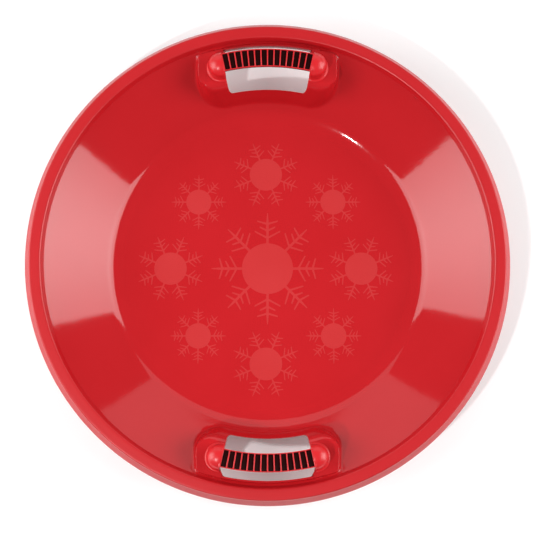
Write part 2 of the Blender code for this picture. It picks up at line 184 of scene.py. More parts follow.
links.new(seen, glow.inputs[0])
links.new(lift.outputs["Result"], glow.inputs[1])
links.new(glow.outputs[0], shader.inputs["Emission Strength"])

bm = bmesh.new()
profile = [(r, PAPER_HEIGHT) for r in PAPER_RINGS]
for step in range(COVE_STEPS + 1):
    a = math.pi / 2 * step / COVE_STEPS
    rise = COVE_RADIUS * (1 - math.cos(a))
    profile.append((PAPER_RADIUS + COVE_RADIUS * math.sin(a), PAPER_HEIGHT + rise))
wire = [bm.verts.new((0, 0, PAPER_HEIGHT))] + [bm.verts.new((r, 0, z)) for r, z in profile]
for pair in zip(wire, wire[1:]):
    bm.edges.new(pair)
bmesh.ops.spin(
    bm,
    geom=bm.verts[:] + bm.edges[:],
    cent=(0, 0, 0),
    axis=(0, 0, 1),
    angle=math.tau,
    steps=PAPER_SPOKES,
    use_merge=True,
)
bmesh.ops.remove_doubles(bm, verts=bm.verts, dist=MERGE)
bmesh.ops.recalc_face_normals(bm, faces=bm.faces)
mesh = bpy.data.meshes.new("paper floor")
bm.to_mesh(mesh)
bm.free()
mesh.shade_smooth()
mesh.materials.append(paper)
floor = bpy.data.objects.new("paper_floor", mesh)
bpy.context.scene.collection.objects.link(floor)

room = bpy.data.worlds.new("room")
bpy.context.scene.world = room
room.use_nodes = True
room.node_tree.nodes["Background"].inputs["Color"].default_value = (1, 1, 1, 1)
room.node_tree.nodes["Background"].inputs["Strength"].default_value = ROOM_LIGHT
bpy.context.scene.view_settings.view_transform = "Standard"
print("paper", PAPER_WHITE, "room", ROOM_LIGHT)

# %% [markdown]
# The dish and the handle covers are polished red plastic. A moulding is never perfectly even: its colour
# drifts a little where the melt flowed, its polish varies, and its skin has a faint long wave that bends
# reflections. Noise on the piece's own coordinates gives all three, each at its own scale. How shiny and how
# clear the plastic is stays on the shader itself, because it is the same all over.

# %% Red plastic
TONE_SCALE = 9
POLISH_SCALE = 160
POLISH_DETAIL = 4


def node(material, kind, **settings):
    """Adds a node and sets its plain properties."""
    made = material.node_tree.nodes.new(kind)
    for name, value in settings.items():
        setattr(made, name, value)
    return made


def noise(material, scale, detail=2.0):
    """Noise on the piece's own coordinates. A scale of 100 has features about a centimetre across."""
    place = node(material, "ShaderNodeTexCoord")
    made = node(material, "ShaderNodeTexNoise")
    made.inputs["Scale"].default_value = scale
    made.inputs["Detail"].default_value = detail
    material.node_tree.links.new(place.outputs["Object"], made.inputs["Vector"])
    return made.outputs["Fac"]


def spread(material, source, low, high):
    """Stretches noise, most of which lies between 0.3 and 0.7, to run from low to high."""
    made = node(material, "ShaderNodeMapRange")
    for name, value in (("From Min", 0.3), ("From Max", 0.7), ("To Min", low), ("To Max", high)):
        made.inputs[name].default_value = value
    material.node_tree.links.new(source, made.inputs["Value"])
    return made.outputs["Result"]


def moulded(name, light, dark, roughness, waves):
    """Moulded plastic between two tones, with a polish that varies and a skin that waves a little. Each of
    the two waves is a noise scale and a height in metres."""
    material = bpy.data.materials.new(name)
    material.use_nodes = True
    links = material.node_tree.links
    shader = material.node_tree.nodes["Principled BSDF"]
    shader.inputs["IOR"].default_value = 1.5
    tone = node(material, "ShaderNodeMix", data_type="RGBA")
    tone.inputs["A"].default_value = (*dark, 1)
    tone.inputs["B"].default_value = (*light, 1)
    links.new(spread(material, noise(material, TONE_SCALE), 0, 1), tone.inputs["Factor"])
    links.new(tone.outputs["Result"], shader.inputs["Base Color"])
    polish = noise(material, POLISH_SCALE, POLISH_DETAIL)
    links.new(spread(material, polish, *roughness), shader.inputs["Roughness"])
    height = node(material, "ShaderNodeMath", operation="ADD")
    for place, (scale, amount) in zip((0, 1), waves):
        links.new(spread(material, noise(material, scale), 0, amount), height.inputs[place])
    bump = node(material, "ShaderNodeBump")
    bump.inputs["Strength"].default_value = 1
    bump.inputs["Distance"].default_value = 1
    links.new(height.outputs[0], bump.inputs["Height"])
    links.new(bump.outputs["Normal"], shader.inputs["Normal"])
    return material


red_waves = ((70, 0.00002), (900, 0.0000015))
dish_tones = (0.52, 0.0118, 0.0165), (0.495, 0.010, 0.014)
cover_tones = (0.64, 0.016, 0.021), (0.61, 0.013, 0.018)
dish_red = moulded("dish red plastic", *dish_tones, (0.055, 0.085), red_waves)
cover_red = moulded("cover red plastic", *cover_tones, (0.28, 0.33), red_waves)
print("red plastic:", dish_red.name, "and", cover_red.name)

# %% [markdown]
# The bowl is polished, but the rim is duller, because it is what gets handled, stacked and scraped. Its
# highlights are broad and weak. So the dish's roughness rises with the distance from the upright axis: the
# height is multiplied away, what is left is measured, and a ramp across the groove inside the rim adds to the
# roughness that the noise gave.

# %% Dull the rim
RIM_BEGINS = 298 * MM
RIM_IS_DULL = 302 * MM
RIM_DULLNESS = 0.28

links = dish_red.node_tree.links
place = node(dish_red, "ShaderNodeTexCoord")
flat = node(dish_red, "ShaderNodeVectorMath", operation="MULTIPLY")
flat.inputs[1].default_value = (1, 1, 0)
links.new(place.outputs["Object"], flat.inputs[0])
away = node(dish_red, "ShaderNodeVectorMath", operation="LENGTH")
links.new(flat.outputs["Vector"], away.inputs[0])
dull = node(dish_red, "ShaderNodeMapRange")
dull_ramp = {"From Min": RIM_BEGINS, "From Max": RIM_IS_DULL, "To Min": 0, "To Max": RIM_DULLNESS}
for name, value in dull_ramp.items():
    dull.inputs[name].default_value = value
links.new(away.outputs["Value"], dull.inputs["Value"])
roughness = dish_red.node_tree.nodes["Principled BSDF"].inputs["Roughness"]
polish = node(dish_red, "ShaderNodeMath", operation="ADD")
links.new(roughness.links[0].from_socket, polish.inputs[0])
links.new(dull.outputs["Result"], polish.inputs[1])
links.new(polish.outputs[0], roughness)
print("the rim's roughness is", RIM_DULLNESS, "more than the bowl's")

# %% [markdown]
# Every piece starts as a bmesh and ends as an object. One helper does the end of that road: it merges
# doubles, turns the faces outwards, shades the mesh smooth but for its sharp edges, gives it its material,
# hangs it on the body that it rides on and hides the imported node that it stands for.

# %% Finishing a piece


def finish_piece(name, bm, material, stands_for=None, sharp=40):
    """Turns a bmesh into a finished object. Edges that bend more than sharp, in degrees, stay sharp."""
    bmesh.ops.remove_doubles(bm, verts=bm.verts, dist=MERGE)
    bmesh.ops.recalc_face_normals(bm, faces=bm.faces)
    open_edges = sum(not edge.is_manifold for edge in bm.edges)
    mesh = bpy.data.meshes.new(name)
    bm.to_mesh(mesh)
    bm.free()
    mesh.shade_smooth()
    mesh.set_sharp_from_angle(angle=math.radians(sharp))
    mesh.materials.append(material)
    piece = bpy.data.objects.new(name, mesh)
    bpy.context.scene.collection.objects.link(piece)
    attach(piece, "root")
    if stands_for:
        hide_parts(stands_for)
    triangles = sum(len(polygon.vertices) - 2 for polygon in mesh.polygons)
    print(name, "has", triangles, "triangles and", open_edges, "open edges")


# %% [markdown]
# The dish is one moulded sheet, so it starts as half of its cross-section: a wire through the corners of
# its upper face, from the middle of the floor to the edge of the skirt. A vertex bevel rounds each corner,
# and cuts along the wire decide where rings of faces will be: close together where the handle mounts rise,
# wide apart on the floor.

# %% The dish in cross-section
SHEET = 2.5 * MM
FLOOR_RADIUS = 209 * MM
FLANK_TOP_RADIUS = 297.2 * MM
FLANK_TOP = 73.7 * MM
FLANK_RISE = (FLANK_TOP - SHEET) / (FLANK_TOP_RADIUS - FLOOR_RADIUS)
RIM_HEIGHT = 82 * MM
RIM_INNER_RADIUS = 301 * MM
RIM_OUTER_RADIUS = 316.3 * MM
RIM_WALL_FOOT = (316.9 * MM, 77 * MM)
SKIRT_RADIUS = 324 * MM
SKIRT_HEIGHT = 63 * MM
OPENING_INNER_RADIUS = 236 * MM
OPENING_OUTER_RADIUS = 290.7 * MM


def on_flank(radius):
    return (radius, SHEET + (radius - FLOOR_RADIUS) * FLANK_RISE)


# Each corner has a bend radius with its segments, and the spacing of the rings up to the next corner
corners = [
    ((0, SHEET), 0, 0, 60 * MM),
    ((FLOOR_RADIUS, SHEET), 39 * MM, 12, 1.6 * MM),
    (on_flank(226 * MM), 0, 0, 1.0 * MM),
    (on_flank(OPENING_INNER_RADIUS), 0, 0, 1.3 * MM),
    (on_flank(240 * MM), 0, 0, 0.9 * MM),
    (on_flank(248 * MM), 0, 0, 3 * MM),
    (on_flank(279 * MM), 0, 0, 1.7 * MM),
    (on_flank(285 * MM), 0, 0, 1.1 * MM),
    (on_flank(OPENING_OUTER_RADIUS), 0, 0, 0.9 * MM),
    (on_flank(294.5 * MM), 0, 0, 1.3 * MM),
    ((FLANK_TOP_RADIUS, FLANK_TOP), 1.5 * MM, 4, 2 * MM),
    ((RIM_INNER_RADIUS, RIM_HEIGHT), 2.8 * MM, 8, 3 * MM),
    ((RIM_OUTER_RADIUS, RIM_HEIGHT), 2.2 * MM, 8, 2 * MM),
    (RIM_WALL_FOOT, 2.5 * MM, 4, 4 * MM),
    ((SKIRT_RADIUS, SKIRT_HEIGHT), 0, 0, 0),
]
bm = bmesh.new()
wire = [bm.verts.new((r, 0, z)) for (r, z), _, _, _ in corners]
for start, end in zip(wire, wire[1:]):
    bm.edges.new((start, end))
bends = []
for i, (_, bend, segments, _) in enumerate(corners):
    if bend:
        before = (wire[i].co - wire[i - 1].co).normalized()
        after = (wire[i + 1].co - wire[i].co).normalized()
        bends.append((wire[i], bend * math.tan(before.angle(after) / 2), segments))
for corner, reach, segments in bends:
    bmesh.ops.bevel(
        bm,
        geom=[corner],
        offset=reach,
        offset_type="OFFSET",
        segments=segments,
        profile=0.5,
        affect="VERTICES",
        material=-1,
    )
starts = [r for (r, _), _, _, _ in corners]
for edge in list(bm.edges):
    middle = sum((vert.co for vert in edge.verts), Vector()) / 2
    part = max(i for i, r in enumerate(starts) if r <= middle.x)
    cuts = round(edge.calc_length() / corners[part][3]) - 1
    if cuts > 0:
        bmesh.ops.subdivide_edges(bm, edges=[edge], cuts=cuts)
print("points on the wire:", len(bm.verts))

# %% [markdown]
# Spinning the wire round the upright axis makes the bowl, and solidify gives it the wall's thickness. The
# spokes of the spin are then pushed round: they crowd where the sides of the mounts and the hand openings
# will be, and spread where the bowl is plain. Beside a mount they also run parallel to its straight side.

# %% Spin the bowl
GRIP_RADIUS = 267.4 * MM
GRIP_LENGTH = 119 * MM
OPENING_HALF_ANGLE = math.degrees(GRIP_LENGTH / 2 / GRIP_RADIUS)
WALL_HALF_ANGLE = math.degrees((GRIP_LENGTH / 2 + SHEET) / GRIP_RADIUS)

# Degrees from the middle of a handle, with how many spokes lie between each and the one before
spoke_runs = [(10, 7), (OPENING_HALF_ANGLE, 7), (WALL_HALF_ANGLE, 1), (13.5, 1), (16.2, 5), (19.3, 7)]
spoke_runs += [(20.7, 10), (21.5, 3), (22.3, 4), (26, 7), (34, 8), (90, 32)]
quarter = [0.0]
for end, count in spoke_runs:
    quarter += [quarter[-1] + (end - quarter[-1]) * (i + 1) / count for i in range(count)]
half = [90 - angle for angle in reversed(quarter)] + [90 + angle for angle in quarter[1:]]
spokes = half[:-1] + [180 + angle for angle in half]
steps = len(spokes) - 1

bmesh.ops.spin(
    bm,
    geom=bm.verts[:] + bm.edges[:],
    cent=(0, 0, 0),
    axis=(0, 0, 1),
    angle=math.tau,
    steps=steps,
    use_merge=True,
)
bmesh.ops.remove_doubles(bm, verts=bm.verts, dist=MERGE)
bmesh.ops.recalc_face_normals(bm, faces=bm.faces)
upper = set(bm.verts)
bmesh.ops.solidify(bm, geom=bm.faces[:], thickness=SHEET)
bm.verts.index_update()
print("spokes:", steps, "vertices:", len(bm.verts))

# %% [markdown]
# From here the plan of the dish is easier to bend as columns of numbers than vertex by vertex. Three moves
# follow. The lower rings slide along the flank until they lie under the upper ones, so that walls will stand
# upright. The spokes turn to their places. Round each corner of a hand opening the grid is drawn into the
# gap, which turns the square corner of the grid into a round one.

# %% Bend the plan
INNER_CORNER = 5 * MM
OUTER_CORNER = 13 * MM
PULL_REACH = 12 * MM

# Each row of four says where a move begins, is full, begins to die away and has ended. The lower rings slide
# between these radii, and the spokes run level between these angles from the middle of a handle.
SLIDE_RADII = (222 * MM, 229 * MM, 294 * MM, 298 * MM)
LEVEL_ANGLES = (13.5, 19, 23, 34)


def between(value, low, high):
    """0 below low, 1 above high, and a smooth ramp from one to the other."""
    share = np.clip((value - low) / (high - low), 0, 1)
    return share * share * (3 - 2 * share)


def rise_and_fall(value, four):
    """0 outside the four values, 1 between the middle two."""
    return between(value, *four[:2]) * (1 - between(value, *four[2:]))


place = np.array([vert.co for vert in bm.verts])
is_upper = np.array([vert in upper for vert in bm.verts])
radius = np.hypot(place[:, 0], place[:, 1])
shift = SHEET * math.sin(math.atan(FLANK_RISE))
slide = shift * rise_and_fall(radius, SLIDE_RADII)
slide[is_upper] = 0
radius -= slide
place[:, 2] -= slide * FLANK_RISE

turn = np.degrees(np.arctan2(place[:, 1], place[:, 0])) % 360
number = turn / 360 * steps
angle = np.interp(number, range(steps + 1), spokes)
side_y = np.where(angle < 180, 1, -1)
from_handle = np.where(angle < 180, 90 - angle, angle - 270)
straight = rise_and_fall(abs(from_handle), LEVEL_ANGLES)
reach = GRIP_RADIUS / np.clip(radius, SLIDE_RADII[0], FLANK_TOP_RADIUS)
level_angle = np.degrees(np.arcsin(np.clip(np.sin(np.radians(from_handle)) * reach, -1, 1)))
bent = np.radians(from_handle * (1 - straight) + level_angle * straight)
along, across = radius * np.sin(bent), radius * np.cos(bent)

sides = ((OPENING_INNER_RADIUS, INNER_CORNER, -1), (OPENING_OUTER_RADIUS, OUTER_CORNER, 1))
for ring, corner, outwards in sides:
    for hand in (1, -1):
        a = math.radians(OPENING_HALF_ANGLE) * hand
        radial = np.array((math.sin(a), math.cos(a)))
        beside = np.array((math.cos(a), -math.sin(a))) * hand
        offset = np.stack((along, across), 1) - ring * radial
        u, v = offset @ beside, offset @ radial * outwards
        near = np.stack((np.minimum(u, 0), np.minimum(v, 0)), 1)
        away = np.hypot(u - near[:, 0], v - near[:, 1])
        back = np.clip(-near.min(1) / corner, 0, 1)
        swing = math.pi / 4 * (1 + back)
        first = near[:, 0] <= near[:, 1]
        c = corner * (np.cos(swing) - 1)
        s = corner * (np.sin(swing) - 1)
        rounded = np.where(first[:, None], np.stack((c, s), 1), np.stack((s, c), 1))
        square = np.where(first[:, None], np.stack((-back, 0 * back), 1), np.stack((0 * back, -back), 1))
        pull = (rounded - square * corner) * (np.clip(1 - away / PULL_REACH, 0, 1) ** 2)[:, None]
        inside = (u < -HAIR) & (v < -HAIR)
        pull[inside | (back >= 1)] = 0
        along += pull[:, 0] * beside[0] + pull[:, 1] * radial[0] * outwards
        across += pull[:, 0] * beside[1] + pull[:, 1] * radial[1] * outwards
print("widest pull into a corner in mm:", round(float(abs(pull).max() / MM), 2))

# %% [markdown]
# Now the mounts rise. Each is a kidney in plan, with a steep drafted wall towards the rider, straight
# drafted sides and a flat top behind a rolled edge. For any point in plan, its height is the highest level
# whose outline still holds the point, found by halving. Where the mount meets the flank, the larger of the
# two heights is taken with a soft corner. Beside the mount that corner is too steep to show, so there a
# hollow fillet, as a mould has at such a foot, lifts the flank by its distance from the outline. The
# underside does the same one sheet lower, but only in the two posts: between them the sheet stays thick.

# %% Raise the mounts
MOUNT_FOOT_RADIUS = 226.8 * MM
MOUNT_FOOT = on_flank(MOUNT_FOOT_RADIUS)[1]
MOUNT_OUTER_RADIUS = 293.5 * MM
MOUNT_TOP = 76 * MM
MOUNT_HALF_WIDTH = 93.5 * MM
EDGE_BEND = 0.8 * MM
HOLLOW_BEND = 0.6 * MM
FRONT_BEND = 9 * MM
FRONT_CORNER = 34 * MM
REAR_CORNER = 7.5 * MM
FRONT_DRAFT = math.radians(14.5)
SIDE_DRAFT = math.radians(4)
FOOT_FILLET = 5 * MM
FILLET_RISE_SHARE = 0.8
FILLET_BEGINS = 64 * MM
FILLET_IS_FULL = 88 * MM
UPPER_VALLEY = 5 * MM
LOWER_VALLEY = 2 * MM
SEARCH_DEPTH = 30 * MM
HALVINGS = 24
ZONE_INNER_RADIUS = 215 * MM
ZONE_OUTER_RADIUS = 298 * MM
ZONE_REACH = 125 * MM
SPARE_ANGLE = 0.05


def rolled_in(z, top, bend):
    """How far a rolled edge has come in at height z."""
    rise = np.clip((z - top + bend) / bend, 0, 1)
    return bend * (1 - np.sqrt(1 - rise * rise))


def depth_inside(x, y, z, skin):
    """How far a point lies inside the mount's outline at height z. Below zero it is outside."""
    top, bend = MOUNT_TOP - skin, HOLLOW_BEND if skin else EDGE_BEND
    inset = rolled_in(z, top, bend)
    front_inset = rolled_in(z, top, bend + FRONT_BEND)
    front = (z - MOUNT_FOOT) * math.tan(FRONT_DRAFT)
    side = (MOUNT_TOP - z) * math.tan(SIDE_DRAFT)
    inner = MOUNT_FOOT_RADIUS + front + skin / math.cos(FRONT_DRAFT) + front_inset
    outer = MOUNT_OUTER_RADIUS - skin - inset
    wide = MOUNT_HALF_WIDTH + side - skin / math.cos(SIDE_DRAFT) - inset
    r = np.hypot(x, y)
    depth = np.minimum(np.minimum(r - inner, outer - r), wide - x)
    front_corner = FRONT_CORNER + bend - front_inset - front
    rear_corner = REAR_CORNER + bend - inset
    rounded_corners = ((front_corner, inner + front_corner, -1), (rear_corner, outer - rear_corner, 1))
    for corner, edge, ahead in rounded_corners:
        cx = wide - corner
        cy = np.sqrt(edge * edge - cx * cx)
        beyond = (y - cy) * ahead >= 0
        beside = (x - cx) * cy - (y - cy) * cx >= 0
        depth = np.where(beyond & beside, corner - np.hypot(x - cx, y - cy), depth)
    return depth


def mount_height(x, y, skin):
    """The highest level at which the mount's outline still holds each point."""
    low = np.full(x.shape, MOUNT_FOOT - SEARCH_DEPTH)
    high = np.full(x.shape, MOUNT_TOP - skin)
    for _ in range(HALVINGS):
        middle = (low + high) / 2
        held = depth_inside(x, y, middle, skin) >= 0
        low, high = np.where(held, middle, low), np.where(held, high, middle)
    return low


def softer_max(a, b, corner):
    """The larger of two heights, with the valley between them filled a little."""
    fill = np.clip(corner - abs(a - b), 0, None) / corner
    return np.maximum(a, b) + fill * fill * corner / 4


def foot_fillet(x, y, z, skin):
    """How far a fillet lifts the flank just outside the mount's sides. It dies away towards the front."""
    full = np.minimum(FOOT_FILLET, FILLET_RISE_SHARE * np.clip(MOUNT_TOP - z, 0, None)) + skin
    full *= between(x, FILLET_BEGINS, FILLET_IS_FULL)
    away = np.clip(-depth_inside(x, y, z, skin), 0, full)
    return full - np.sqrt(full * full - (full - away) ** 2)


x, y, z = abs(along), across, place[:, 2]
near_mount = (radius > ZONE_INNER_RADIUS) & (radius < ZONE_OUTER_RADIUS) & (x < ZONE_REACH)
in_post = np.degrees(np.arctan2(x, y)) > WALL_HALF_ANGLE + SPARE_ANGLE
top_side = near_mount & is_upper
hollow = near_mount & ~is_upper & in_post
z[top_side] += foot_fillet(x[top_side], y[top_side], z[top_side], 0)
z[hollow] += foot_fillet(x[hollow], y[hollow], z[hollow], SHEET)
z[top_side] = softer_max(z[top_side], mount_height(x[top_side], y[top_side], 0), UPPER_VALLEY)
z[hollow] = softer_max(z[hollow], mount_height(x[hollow], y[hollow], SHEET), LOWER_VALLEY)
for vert, vx, vy, vz in zip(bm.verts, along, across * side_y, z):
    vert.co = (vx, vy, vz)
print("top of the mounts in mm:", round(float(z[top_side].max() / MM), 1))

# %% [markdown]
# The hand openings need no cutter. The grid has rings and spokes just where an opening's sides are, so the
# faces inside are taken out of both skins, the two holes that they leave are bridged into upright walls,
# and a bevel rolls the edges over. A last bevel rounds the free edge of the skirt.

# %% Open the hand holes
OPENING_ROLL = 1.4 * MM
SKIRT_ROLL = 0.8 * MM
SKIRT_BAND = 4 * MM
STEEP_FOLD = 1.3
ROOM = 0.2 * MM
ROOM_ANGLE = 0.02


def in_opening(index):
    """Whether a vertex of the grid lies inside an opening or on its sides."""
    return (
        OPENING_INNER_RADIUS - ROOM < radius[index] < OPENING_OUTER_RADIUS + ROOM
        and abs(from_handle[index]) < OPENING_HALF_ANGLE + ROOM_ANGLE
    )


def roll_edges(bm, edges, offset, segments):
    """Rounds edges over with a bevel."""
    bmesh.ops.bevel(
        bm,
        geom=edges,
        offset=offset,
        offset_type="OFFSET",
        segments=segments,
        profile=0.5,
        affect="EDGES",
        clamp_overlap=True,
        material=-1,
    )


openings = [face for face in bm.faces if all(in_opening(vert.index) for vert in face.verts)]
bmesh.ops.delete(bm, geom=openings, context="FACES")
for hand in (1, -1):
    edges = [edge for edge in bm.edges if edge.is_boundary and edge.verts[0].co.y * hand > 0]
    bmesh.ops.bridge_loops(bm, edges=edges)
    roll_edges(bm, edges, OPENING_ROLL, 4)
free_edge = [
    edge
    for edge in bm.edges
    if len(edge.link_faces) == 2
    and edge.calc_face_angle() > STEEP_FOLD
    and min(Vector(vert.co[:2]).length for vert in edge.verts) > SKIRT_RADIUS - SKIRT_BAND
]
roll_edges(bm, free_edge, SKIRT_ROLL, 3)
print("faces taken out:", len(openings), "edges of the skirt:", len(free_edge))
finish_piece("dish", bm, dish_red, "sled_dish")

# %% [markdown]
# The handles are drawn once, for the left side, and copied half a turn round for the right. Parts of them
# are simple closed solids that are joined and cut with exact Booleans, as a mould is cut from simple tools.
# The ends of a grip lie aslant, because it bends round the dish, so each end has a frame of its own: X points
# outwards along the grip and Y away from the middle of the dish.

# %% Working with solids
CLEARANCE = 0.3 * MM
SCREW_REACH = 9 * MM


def solid(bm):
    """A helper object of a closed bmesh, with its faces outwards."""
    bmesh.ops.remove_doubles(bm, verts=bm.verts, dist=MERGE)
    bmesh.ops.recalc_face_normals(bm, faces=bm.faces)
    mesh = bpy.data.meshes.new("helper")
    bm.to_mesh(mesh)
    bm.free()
    helper = bpy.data.objects.new("helper", mesh)
    bpy.context.scene.collection.objects.link(helper)
    return helper


def combine(bm, *steps):
    """Joins or cuts solids one after another. Each step is an operation and the bmesh it is done with."""
    target = solid(bm)
    helpers = [target]
    for operation, other in steps:
        helpers.append(solid(other))
        modifier = target.modifiers.new(operation, "BOOLEAN")
        modifier.operation = operation
        modifier.solver = "EXACT"
        modifier.object = helpers[-1]
    evaluated = target.evaluated_get(bpy.context.evaluated_depsgraph_get())
    result = bmesh.new()
    result.from_mesh(evaluated.to_mesh())
    for helper in helpers:
        bpy.data.meshes.remove(helper.data)
    return result


def end_frame(side):
    """The frame at one end of the left grip, side 1 towards +X and -1 towards -X."""
    place = Matrix.Rotation(-side * math.radians(OPENING_HALF_ANGLE), 4, "Z")
    return place @ Matrix.Translation((0, GRIP_RADIUS, 0)) @ Matrix.Diagonal((side, 1, 1, 1))


def bend_round(bm):
    """Bends a straight grip, drawn along X, round the middle of the dish."""
    for vert in bm.verts:
        a, r = vert.co.x / GRIP_RADIUS, GRIP_RADIUS + vert.co.y
        vert.co.x, vert.co.y = r * math.sin(a), r * math.cos(a)


def close_flat(bm, chosen):
    """Fills the flat hole whose edges are the open ones that pass a test."""
    rim = [edge for edge in bm.edges if edge.is_boundary and all(chosen(vert.co) for vert in edge.verts)]
    return bmesh.ops.contextual_create(bm, geom=rim)["faces"]


def screw_bars(radius, bottom, top):
    """Round bars where the two screws of the left grip stand."""
    bars = bmesh.new()
    for side in (1, -1):
        bmesh.ops.create_cone(
            bars,
            cap_ends=True,
            segments=24,
            radius1=radius,
            radius2=radius,
            depth=top - bottom,
            matrix=end_frame(side) @ Matrix.Translation((SCREW_REACH, 0, (top + bottom) / 2)),
        )
    return bars


print("grip ends at", round(OPENING_HALF_ANGLE, 2), "degrees")

# %% [markdown]
# The cover's grille starts flat, as a grid with a column for each rib and each slot. The faces of the slots
# are taken out, the sheet gets its depth, and a small bevel rounds the upper edges of ribs and rails, which
# is what catches the light on them. Crowning it across and bending it round the dish come last.

# %% The grille
GRIP_WIDTH = 24.2 * MM
GRIP_TOP = 105 * MM
GRILLE_BOTTOM = 101.5 * MM
GRILLE_CROWN = 1 * MM
RIB_COUNT = 13
RIB = 1.75 * MM
RIB_ROLL = 0.62 * MM
RAIL = 1.3 * MM
ROW_SHARES = (-1, -0.67, -0.33, 0, 0.33, 0.67, 1)
KNUCKLE_FACE = 2 * MM
PITCH = GRIP_LENGTH / (RIB_COUNT + 1)


def crown(y):
    """How far the top of the grip falls away from its middle line."""
    return GRILLE_CROWN * (y / (GRIP_WIDTH / 2)) ** 2


def grille():
    """The ladder of ribs and rails, bent round the dish."""
    end = GRIP_LENGTH / 2 + KNUCKLE_FACE
    columns = [-end]
    for slot in range(RIB_COUNT + 1):
        start = slot * PITCH - GRIP_LENGTH / 2
        columns += [start + RIB / 2, start + PITCH - RIB / 2]
    columns.append(end)
    inner = GRIP_WIDTH / 2 - RAIL
    rows = [-GRIP_WIDTH / 2] + [inner * share for share in ROW_SHARES] + [GRIP_WIDTH / 2]
    nx, ny = len(columns) - 1, len(rows) - 1
    bm = bmesh.new()
    bmesh.ops.create_grid(bm, x_segments=nx, y_segments=ny, size=1)
    slots = []
    for face in bm.faces:
        middle = face.calc_center_median()
        column, row = int((middle.x + 1) / 2 * nx), int((middle.y + 1) / 2 * ny)
        if column % 2 and 0 < row < ny - 1:
            slots.append(face)
    for vert in bm.verts:
        vert.co.x = columns[round((vert.co.x + 1) / 2 * nx)]
        vert.co.y = rows[round((vert.co.y + 1) / 2 * ny)]
    bmesh.ops.delete(bm, geom=slots, context="FACES")
    top = set(bm.verts)
    bmesh.ops.solidify(bm, geom=bm.faces[:], thickness=GRIP_TOP - GRILLE_BOTTOM)
    for vert in bm.verts:
        vert.co.z = GRIP_TOP - crown(vert.co.y) if vert in top else GRILLE_BOTTOM
    edges = [e for e in bm.edges if all(vert in top for vert in e.verts) and e.calc_face_angle() > 1]
    roll_edges(bm, edges, RIB_ROLL, 4)
    bend_round(bm)
    return bm


print("ribs:", RIB_COUNT, "pitch in mm:", round(PITCH / MM, 2))

# %% [markdown]
# A knuckle is a dome on a round foot with a thin flange, which sits on the mount. Its profile is a wire: up
# the edge of the flange, in along a hollow fillet to the wall, up the wall and over a quarter of an ellipse.
# Half a spin makes the round end, and pulling the open edge towards the grip makes the straight part.

# %% The knuckles
SEAT = MOUNT_TOP + CLEARANCE
KNUCKLE_LENGTH = 21.5 * MM
KNUCKLE_REACH = 17.5 * MM
KNUCKLE_FOOT = 19.3 * MM
KNUCKLE_WALL = 16.4 * MM
KNUCKLE_TOP = 106 * MM
DOME_HEIGHT = 12.5 * MM
FLANGE = 0.8 * MM
FLANGE_FILLET = 3.5 * MM
FILLET_STEPS = 6
DOME_STEPS = 16
ARCH_ROLL = 0.6 * MM


def knuckle(side):
    """The closed knuckle at one end of the left grip."""
    shoulder = KNUCKLE_TOP - DOME_HEIGHT
    centre = KNUCKLE_LENGTH - KNUCKLE_REACH
    profile = [(KNUCKLE_FOOT, SEAT), (KNUCKLE_FOOT, SEAT + FLANGE / 2)]
    profile.append((KNUCKLE_FOOT - FLANGE / 4, SEAT + FLANGE))
    reach = KNUCKLE_FOOT - FLANGE / 2 - KNUCKLE_WALL
    for step in range(FILLET_STEPS + 1):
        a = math.pi / 2 * step / FILLET_STEPS
        r = KNUCKLE_WALL + reach * (1 - math.sin(a))
        profile.append((r, SEAT + FLANGE + FLANGE_FILLET * (1 - math.cos(a))))
    for step in range(DOME_STEPS + 1):
        a = math.pi / 2 * step / DOME_STEPS
        profile.append((KNUCKLE_WALL * math.cos(a), shoulder + DOME_HEIGHT * math.sin(a)))
    bm = bmesh.new()
    wire = [bm.verts.new((centre, -r, z)) for r, z in profile]
    for pair in zip(wire, wire[1:]):
        bm.edges.new(pair)
    bmesh.ops.spin(
        bm,
        geom=bm.verts[:] + bm.edges[:],
        cent=(centre, 0, 0),
        axis=(0, 0, 1),
        angle=math.pi,
        steps=32,
    )
    bmesh.ops.remove_doubles(bm, verts=bm.verts, dist=MERGE)
    rim = [e for e in bm.edges if e.is_boundary and all(abs(v.co.x - centre) < HAIR for v in e.verts)]
    grown = bmesh.ops.extrude_edge_only(bm, edges=rim)["geom"]
    for vert in grown:
        if isinstance(vert, bmesh.types.BMVert):
            vert.co.x = 0
    feet = [vert for vert in bm.verts if abs(vert.co.x) < HAIR and abs(vert.co.z - SEAT) < HAIR]
    bm.edges.new(feet)
    close_flat(bm, lambda co: abs(co.z - SEAT) < HAIR)
    front = [e for e in bm.edges if all(abs(v.co.x) < HAIR for v in e.verts)]
    bmesh.ops.contextual_create(bm, geom=front)
    arch = [e for e in front if e.is_valid and not all(abs(v.co.z - SEAT) < HAIR for v in e.verts)]
    roll_edges(bm, arch, ARCH_ROLL, 2)
    bm.transform(end_frame(side))
    return bm


print("knuckle length in mm:", round(KNUCKLE_LENGTH / MM, 1))

# %% [markdown]
# The core is the black part that the fingers close round: upright cheeks over a half-round belly. A pad
# stands in each slot of the grille, a little sunk. At each end a tongue runs into the knuckle and ends in a
# foot, which the screw goes through. The same foot, a clearance larger, is the pocket in the knuckle.

